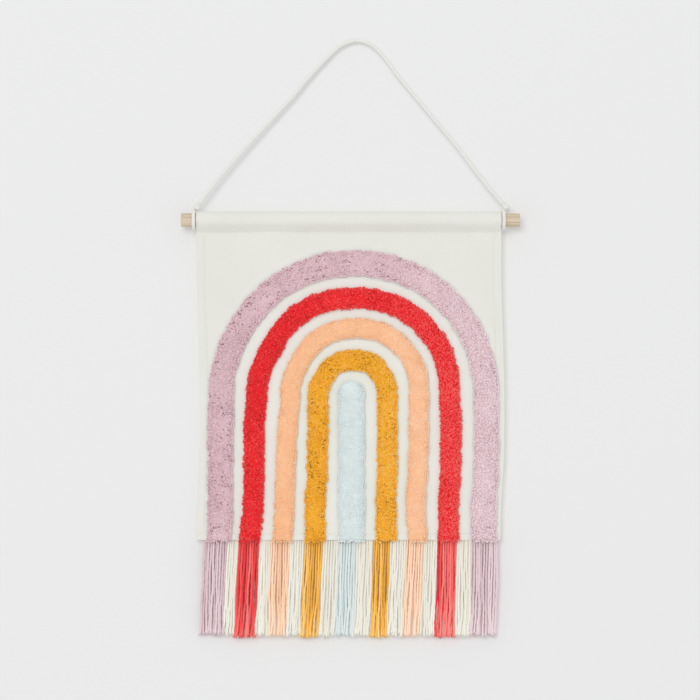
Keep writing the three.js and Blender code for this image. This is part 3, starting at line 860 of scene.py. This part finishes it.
def tuft_roots(arch, seed, draw):
    """Roots of a band's tufts: a row along each rim, and an uneven filling between them."""
    reach = BAR_HALF if arch is None else arch["radius"] + arch["half"] + 8 * MM
    middle = BAR_X if arch is None else RAINBOW_X
    top = BAR_TOP if arch is None else SPRING_Z + reach
    row_height = TUFT_PITCH * math.sqrt(3) / 2
    columns = middle + np.arange(-reach, reach, TUFT_PITCH)
    rows = np.arange(FOOT_Z + 1 * MM, top, row_height)
    x, z = np.meshgrid(columns, rows)
    x = x + (np.arange(len(rows)) % 2)[:, None] * TUFT_PITCH / 2
    x, z = x.ravel(), z.ravel()
    jitter = draw.uniform(-TUFT_JITTER, TUFT_JITTER, (2, len(x)))
    x, z = x + jitter[0], z + np.where(z < FOOT_Z + 2 * MM, 0, jitter[1])
    to_outer, to_inner = band_place(arch, x, z)[:2]
    shift = rim_shift(x, z, seed)
    keep = np.minimum(to_outer + shift, to_inner - shift) > RIM_INSET + 1 * MM
    roots = [np.stack([x[keep], z[keep]], axis=1)]
    for line in rim_lines(arch):
        x, z = even_run(*line, RIM_PITCH)
        out_x, out_z = band_place(arch, x, z)[2:]
        shift = rim_shift(x, z, seed) + draw.uniform(-RIM_JITTER, RIM_JITTER, len(x))
        roots.append(np.stack([x + out_x * shift, z + out_z * shift], axis=1))
    return np.vstack(roots)


def deep_tufts(x, z, lean, specks, draw):
    """Which tufts sit deep and are drawn dark with painted shade: in patches, often two together, fewer on
    the right.
    """
    fewer = 1 - 0.5 * np.clip((x - RAINBOW_X) / SPECK_FADE, 0, 1)
    patchy = np.clip(0.7 + 0.9 * ripple(x, z, SPECK_PATCH, 23), 0, 2)
    deep_shade = draw.random(len(x)) < 0.7 * specks * fewer * patchy
    paired = np.roll(deep_shade, 1) & (draw.random(len(x)) < SPECK_PAIRS)
    return (deep_shade | paired) & (np.abs(lean) < 0.5)


def add_tufts(form, roots, arch, specks, draw):
    """Adds the tufts: short yarn ends that bend over and lean out a little at the band's rims."""
    x, z = roots[:, 0], roots[:, 1]
    count = len(x)
    to_outer, to_inner, out_x, out_z = band_place(arch, x, z)
    lean = np.clip(1 - to_outer / RIM_REACH, 0, 1) - np.clip(1 - to_inner / RIM_REACH, 0, 1)
    inside = 1 - np.abs(lean)
    foot = np.clip(1 - (z - FOOT_Z) / RIM_REACH, 0, 1) * FOOT_LEAN
    parted = PARTED * inside * np.stack([ripple(x, z, CLUMP, seed) for seed in (21, 22)])
    stray_x, stray_z = parted + draw.normal(0, STRAY, (2, count))
    across = [RIM_LEAN * lean * out_x + stray_x, RIM_LEAN * lean * out_z - foot + stray_z]
    direction = unit(np.stack([across[0], -np.ones(count), across[1]], axis=1))
    turn = draw.uniform(0, TURN, count)
    side_a = unit(np.cross(direction, [0.3, 0.1, 1.0]))
    side_b = np.cross(direction, side_a)
    bend = np.cos(turn)[:, None] * side_a + np.sin(turn)[:, None] * side_b
    bending = draw.uniform(0, BENDING, count) * (1 - RIM_STIFFER + RIM_STIFFER * inside)
    lumps = 1 + LUMPS * ripple(x, z, LUMP_LENGTH, 11) + draw.uniform(-LENGTH_SPREAD, LENGTH_SPREAD, count)
    deep_shade = deep_tufts(x, z, lean, specks, draw)
    length = TUFT_LENGTH * lumps * (1 - RIM_SHORTER + RIM_SHORTER * inside) * np.where(deep_shade, DEEP_LENGTH, 1)
    root = np.stack([x, panel_y(x, z) - SOLID_HALF, z], axis=1)

    def at(share):
        return root + direction * (length * share)[:, None] + bend * (length * bending * share**2)[:, None]

    centres = np.stack([at(share) for share in TUFT_RINGS], axis=1)
    thickness = TUFT_RADIUS * draw.uniform(1 - RADIUS_SPREAD, 1 + RADIUS_SPREAD, count)
    swell = TUFT_SWELL * (thickness * np.where(deep_shade, DEEP_RADIUS, 1))[:, None]
    angle = ring(TUFT_SIDES) + draw.uniform(0, TURN, count)[:, None]
    around = np.cos(angle)[..., None] * side_a[:, None] + np.sin(angle)[..., None] * side_b[:, None]
    rings = centres[:, :, None] + around[:, None] * swell[:, :, None, None]
    points = np.concatenate([rings.reshape(count, -1, 3), at(TUFT_TIP)[:, None]], axis=1)
    size = points.shape[1]
    quads = grid_quads(len(TUFT_RINGS), TUFT_SIDES, closed_columns=True)
    rim = size - 1 - TUFT_SIDES + np.arange(TUFT_SIDES)
    cap = np.stack([rim, np.roll(rim, -1), np.full(TUFT_SIDES, size - 1)], axis=1)
    offset = (np.arange(count) * size)[:, None, None]
    # Tone: random, with painted shade on deep tufts and on each tuft's lower ring, and painted light towards
    # the right and on rim tufts
    own = np.clip(draw.normal(1, TONE_SPREAD, count), 0.65, 1.35) * np.where(deep_shade, DEEP_SHADE_TONE, 1)
    own = own + painted_light_rightwards(x) + RIM_PAINTED_LIGHT * np.abs(lean)
    tone = own[:, None] * np.append(np.repeat(TUFT_TONES, TUFT_SIDES), TUFT_TONES[-1])
    form.add(points, quads=quads + offset, triangles=cap + offset, tone=tone)


def add_slab(form, arch):
    """Adds the dense ground of the pile under its tufts, as a low lumpy band drawn in painted shade."""
    if arch is None:
        half, spring = BAR_HALF - SLAB_INSET, BAR_TOP - BAR_HALF
        turn = np.linspace(0, BAR_TOP_TURN, BAR_TOP_ROWS)
        straight = np.linspace(FOOT_Z + 1.5 * MM, spring, BAR_ROWS, endpoint=False)
        level = np.concatenate([straight, spring + half * np.sin(turn)])
        halves = np.concatenate([np.full(len(straight), half), half * np.cos(turn)])
        px = BAR_X + halves[:, None] * SLAB_SECTION[:, 0]
        pz = np.broadcast_to(level[:, None], px.shape)
    else:
        length = arch_length(arch)
        run = np.linspace(1.5 * MM, length - 1.5 * MM, int(length / SLAB_STEP))
        across = (SLAB_INSET - arch["half"]) * SLAB_SECTION[:, 0]
        px, pz = arch_point(arch, run[:, None] + 0 * across, across)[:2]
    lift = SLAB_HEIGHT * SLAB_SECTION[:, 1] * (1 + 0.1 * ripple(px, pz, 20 * MM, 12))
    py = panel_y(px, pz) - SOLID_HALF - 0.1 * MM - lift
    points = np.stack([px, py, pz], axis=-1)
    rows, columns = px.shape
    quads = grid_quads(rows, columns, closed_columns=True)
    fans = [[first, first + a, first + a + 1] if first else [0, a + 1, a]
            for first in (0, (rows - 1) * columns) for a in range(1, columns - 1)]
    form.add(points, quads=quads, triangles=fans, tone=SLAB_SHADE_TONE)


def add_pile(arch, seed, material):
    """One band of the rainbow: an arch, or the bar in the middle."""
    yarn = "blue" if arch is None else arch["yarn"]
    draw = np.random.default_rng(seed)
    form = Form()
    add_slab(form, arch)
    add_tufts(form, tuft_roots(arch, seed, draw), arch, SPECKS[yarn], draw)
    return dress(form, "tufted_" + yarn, material, yarn + "_yarn", "pile_" + yarn)


# Fringe

# Yarns: their thickness by colour, twist, spacing, steps, roots and rows. Then how uneven their feet are,
# how the group flares and drifts, how soon a yarn hangs free, and where it pales and frays, as shares down.
YARN_RADIUS, FULLNESS = 1.68 * MM, {"red": 0.9, "mustard": 0.88, "white": 1.04}
YARN_TWIST, YARN_GROOVES = 17 * MM, 0.2
YARN_PITCH, YARN_INSET, YARN_JITTER = 3.15 * MM, 1.5 * MM, 0.45 * MM
YARN_STEPS, YARN_SIDES = 56, 8
YARN_TOP = HEM_Z + 3.2 * MM
# The rows' depth apart, and the painted shade on the back row
ROW_DEPTH, BACK_ROW_SHADE = 1.05 * MM, 0.4
FOOT_SPREAD, FLARE, DRIFT_POWER, FREE_POWER = 1.1 * MM, 0.03, 1.15, 0.7
PALE_FROM, PALE_REACH, FRAY_FROM = 0.6, 0.3, 0.9

# How a group sways, and how each yarn waves: depth, times its pace, and which of its paces and phases
GROUP_SWAY = 0.5 * MM
YARN_WAVES = ((1 * MM, 1, 0, 0), (0.45 * MM, 2.3, 1, 1), (0.22 * MM, 6.5, 3, 2))
YARN_DEPTH_WAVE = 0.7 * MM

# The strands into which a foot opens, over its last steps
STRANDS, STRAND_STEPS, STRAND_SIDES, STRAND_REACH = 7, 5, 4, 5
STRAND_LENGTHS, STRAND_SPREADS, STRAND_RADIUS = (8 * MM, 11.5 * MM), (0.6 * MM, 2.2 * MM), 0.62 * MM

# The heading behind the hem, and the cords that wrap it
HEADING_TOP, HEADING_HEIGHT, HEADING_DEPTH = HEM_Z + 6 * MM, 5.5 * MM, 4.5 * MM
HEADING_PITCH, HEADING_CORD, HEADING_STEPS, HEADING_SIDES, HEADING_TONE = 1.7 * MM, 0.85 * MM, 12, 6, 0.7


def heading_y(x):
    """The middle of the heading's thickness, behind the hem."""
    return panel_y(x, HEM_Z) + SOLID_HALF + 1.5 * MM + HEADING_DEPTH / 2


def fringe_edges():
    """The left edge of each group, and its drift and place at its middle."""
    widths = np.array([row[1] for row in FRINGE]) * MM
    left = FRINGE_LEFT + np.concatenate([[0], np.cumsum(widths)[:-1]])
    return left, left + widths / 2, np.array([row[2] for row in FRINGE]) * MM


def add_fringe(number, material):
    """One group of yarns with its heading: a back and a front row that hang, drift, part and meet."""
    yarn, width, _, drop = FRINGE[number]
    lefts, middles, drifts = fringe_edges()
    left, width = lefts[number], width * MM
    draw = np.random.default_rng(300 + number)
    form = Form()
    share = np.linspace(0, 1, YARN_STEPS)
    sway, sway_pace = draw.uniform(0, TURN), draw.uniform(0.4, 0.8) * TURN
    yarns = max(3, round(width / YARN_PITCH))
    for row, count in ((1, yarns - 1), (0, yarns)):
        place = (np.arange(count) + 0.5 * row) / (yarns - 1)
        x_top = left + YARN_INSET + (width - 2 * YARN_INSET) * place
        x_top = x_top + draw.uniform(-YARN_JITTER, YARN_JITTER, count)
        foot = HEM_Z - FRINGE_LENGTH - drop * MM + draw.normal(0, FOOT_SPREAD, count)
        z = YARN_TOP + (foot - YARN_TOP)[:, None] * share
        middle = left + width / 2
        x = middle + (x_top - middle)[:, None] * (1 + FLARE * share)
        x = x + np.interp(x_top, middles, drifts)[:, None] * share**DRIFT_POWER
        phase = draw.uniform(0, TURN, (4, count, 1))
        pace = draw.uniform(0.7, 1.5, (4, count, 1)) * TURN
        free = share**FREE_POWER
        x = x + GROUP_SWAY * np.sin(sway_pace * share + sway) * free
        for depth, times, k, m in YARN_WAVES:
            x = x + depth * np.sin(times * pace[k] * share + phase[m]) * free
        y_row = heading_y(x_top) + (2 * row - 1) * ROW_DEPTH
        y = y_row[:, None] + YARN_DEPTH_WAVE * np.sin(pace[2] * share + phase[2]) * free
        paths = np.stack([x, y, z], axis=-1)
        twist = (YARN_TOP - z) / YARN_TWIST * TURN + phase[3]
        swell = YARN_RADIUS * FULLNESS.get(yarn, 1) * draw.uniform(0.86, 1.12, count)[:, None, None]
        radius = swell * lobed(ring(YARN_SIDES), twist[:, :, None], 2, YARN_GROOVES)
        fray = np.clip((share - FRAY_FROM) / (1 - FRAY_FROM), 0, 1)
        radius = radius * (1 + 0.15 * fray - 0.5 * fray**4)[:, None]
        # Random tone, with painted shade on the back row and painted light towards the right
        own = np.clip(draw.normal(0.6, 0.12, count), 0.3, 0.95) * (BACK_ROW_SHADE if row else 1)
        own = own + 0.3 * painted_light_rightwards(x_top)
        paler = 0.15 * np.clip((share - PALE_FROM) / PALE_REACH, 0, 1) + 0.12 * fray
        tubes(form, paths, ALONG_Y, ALONG_X, radius, tone=own[:, None] + paler)
        add_frayed_ends(form, paths, own + 0.3, draw)
    add_heading(form, left, width)
    node = "fringe_%02d_%s" % (number + 1, yarn)
    return dress(form, "yarns_%02d_%s" % (number + 1, yarn), material, yarn + "_yarn", node)


def add_frayed_ends(form, paths, own, draw):
    """Adds the loose strands at the yarns' feet: each yarn opens into a small brush."""
    several = (len(paths), STRANDS, 1)
    share = np.linspace(0, 1, STRAND_STEPS)
    start = paths[:, None, -STRAND_REACH]
    along = unit(paths[:, None, -1] - start)
    length = draw.uniform(*STRAND_LENGTHS, several)
    turn = ring(STRANDS) + draw.uniform(0, TURN, (len(paths), 1))
    outward = np.stack([np.cos(turn), 0.6 * np.sin(turn), 0 * turn], axis=-1)
    spread = draw.uniform(*STRAND_SPREADS, several)
    path = (start + outward * 0.8 * MM)[:, :, None] + (along * length)[:, :, None] * share[:, None]
    path = path + (outward * spread)[:, :, None] * (share**2)[:, None]
    path = path.reshape(-1, STRAND_STEPS, 3)
    taper = STRAND_RADIUS * (1 - 0.55 * share)
    radius = np.broadcast_to(taper[:, None], (len(path), STRAND_STEPS, STRAND_SIDES))
    tubes(form, path, ALONG_Y, ALONG_X, radius, tone=np.repeat(own, STRANDS)[:, None])


def add_heading(form, left, width):
    """Adds the heading strip: the yarns' roots wrapped side by side behind the hem."""
    count = max(4, round(width / HEADING_PITCH))
    x = left + 0.5 * MM + (width - 1 * MM) * (np.arange(count) + 0.5) / count
    turn = ring(HEADING_STEPS)
    half_height, half_depth = HEADING_HEIGHT / 2 - 0.8 * MM, HEADING_DEPTH / 2 - 0.8 * MM
    y = heading_y(x)[:, None] + half_depth * np.cos(turn)
    z = HEADING_TOP - HEADING_HEIGHT / 2 + half_height * np.sin(turn)
    paths = np.stack(np.broadcast_arrays(x[:, None], y, z), axis=-1)
    radius = np.full((count, HEADING_STEPS, HEADING_SIDES), HEADING_CORD)
    tubes(form, paths, ALONG_X, around_x(turn), radius, tone=HEADING_TONE, closed=True)


# Dowel

DOWEL_EDGE, DOWEL_EDGE_STEPS, DOWEL_STEPS, DOWEL_SIDES = 0.8 * MM, 6, 28, 64


def add_dowel(material):
    """The rod, turned about X, with softly broken end edges."""
    half = DOWEL_LENGTH / 2
    turn = np.linspace(0, math.pi / 2, DOWEL_EDGE_STEPS)
    edge_x = half - DOWEL_EDGE + DOWEL_EDGE * np.sin(turn)
    edge_r = DOWEL_RADIUS - DOWEL_EDGE + DOWEL_EDGE * np.cos(turn)
    ends_x = np.concatenate([edge_x, [half, half]])
    ends_r = np.concatenate([edge_r, [DOWEL_RADIUS * 0.5, 0.02 * MM]])
    body = np.linspace(-half + DOWEL_EDGE, half - DOWEL_EDGE, DOWEL_STEPS + 2)[1:-1]
    x = np.concatenate([-ends_x[::-1], body, ends_x])
    r = np.concatenate([ends_r[::-1], np.full(DOWEL_STEPS, DOWEL_RADIUS), ends_r])
    path = x[:, None] * ALONG_X + DOWEL_MIDDLE
    radius = np.repeat(r[:, None], DOWEL_SIDES, axis=1)
    form = Form()
    tubes(form, path[None], ALONG_Y, ALONG_Z, radius[None])
    return dress(form, "turned_rod", material, "wood", "dowel")


# Wall, floor and light

WALL_Y, WALL_REACH, WALL_TOP, WALL_COLOUR = 9 * MM, 3.0, 1.6, srgb(229, 229, 229)
FLOOR_Z, FLOOR_REACH, FLOOR_COLOUR = -1.45, 6.0, srgb(232, 231, 229)
AIR_COLOUR, AIR_STRENGTH = (0.98, 0.99, 1.0, 1), 0.762

# Lamps: place, size across and power. They face the aim.
LAMPS = {"key": ((-1.8, -10, 2.3), 4.5, 362), "back": ((1.2, 2.6, 0.8), 1.6, 32)}
LAMP_AIM = np.array([0, 0, -0.4])


def stage_paint(name, colour):
    """Plain paint that only shows from a sheet's front and is clear from behind."""
    paint = Paint(name, 0.9)
    paint.set({"Base Color": colour, "Specular IOR Level": 0.1})
    behind = paint.add("NewGeometry", "Backfacing", {})
    clear = paint.add("BsdfTransparent", "BSDF", {})
    mixed = paint.add("MixShader", "Shader", {0: behind, 1: paint.shader.outputs["BSDF"], 2: clear})
    paint.feed(paint.nodes["Material Output"].inputs["Surface"], mixed)
    return paint.material


def add_sheet(name, corners, material):
    mesh = bpy.data.meshes.new(name)
    mesh.from_pydata(corners, [], [(0, 1, 2, 3)])
    mesh.materials.append(material)
    made = linked(name, mesh)
    return made


def add_stage():
    """A plain pale wall and floor, each of which only shows from its front."""
    sides = ((-1, -1), (1, -1), (1, 1), (-1, 1))
    corners = [(WALL_REACH * x, WALL_Y, WALL_TOP if up > 0 else FLOOR_Z) for x, up in sides]
    wall = add_sheet("stage_wall", corners, stage_paint("wall_paint", WALL_COLOUR))
    wall.visible_shadow = False
    wall.visible_diffuse = False
    wall.visible_glossy = False
    corners = [(FLOOR_REACH * x, FLOOR_REACH * y, FLOOR_Z) for x, y in sides]
    add_sheet("stage_floor", corners, stage_paint("floor_paint", FLOOR_COLOUR))


def add_lamp(name, place, size, power):
    data = bpy.data.lights.new(name, "AREA")
    data.size = size
    data.energy = power
    light = linked(name, data)
    light.location = place
    away = np.array(place) - LAMP_AIM
    level = math.hypot(away[0], away[1])
    light.rotation_euler = (math.atan2(level, away[2]), 0, math.atan2(away[0], -away[1]))


def add_lights():
    """A soft key from the upper left, a lamp for the back, and pale air all round."""
    for name, row in LAMPS.items():
        add_lamp(name, *row)
    world = bpy.data.worlds.new("air")
    world.use_nodes = True
    world.node_tree.nodes["Background"].inputs["Color"].default_value = AIR_COLOUR
    world.node_tree.nodes["Background"].inputs["Strength"].default_value = AIR_STRENGTH
    bpy.context.scene.world = world


add_camera()
cotton = cord_material()
cord, cord_path, cord_length = add_hanging_cord(cotton)
left_tie = add_tie("cord_tie_left", towards=CORD_ROUTE[0], material=cotton, **TIES["cord_tie_left"])
right_tie = add_tie("cord_tie_right", towards=CORD_ROUTE[-1], material=cotton, **TIES["cord_tie_right"])

rod = add_dowel(wood_material())
banner = add_canvas(canvas_material())
stitches = stitch_rows(cotton)
pile_yarns = {
    name: yarn_material(name + "_pile", *colours, grain=(1, 0.2, 1)) for name, colours in PILE_YARNS.items()
}
fringe_yarns = {
    name: yarn_material(name + "_fringe", *colours, grain=(1, 1, 0.09))
    for name, colours in FRINGE_YARNS.items()
}
pile = [add_pile(arch, 40 + 10 * k, pile_yarns[arch["yarn"]]) for k, arch in enumerate(ARCHES)]
pile.append(add_pile(None, 80, pile_yarns["blue"]))
fringe = [add_fringe(number, fringe_yarns[FRINGE[number][0]]) for number in range(len(FRINGE))]

add_stage()
add_lights()
bpy.context.scene.view_settings.view_transform = "Standard"
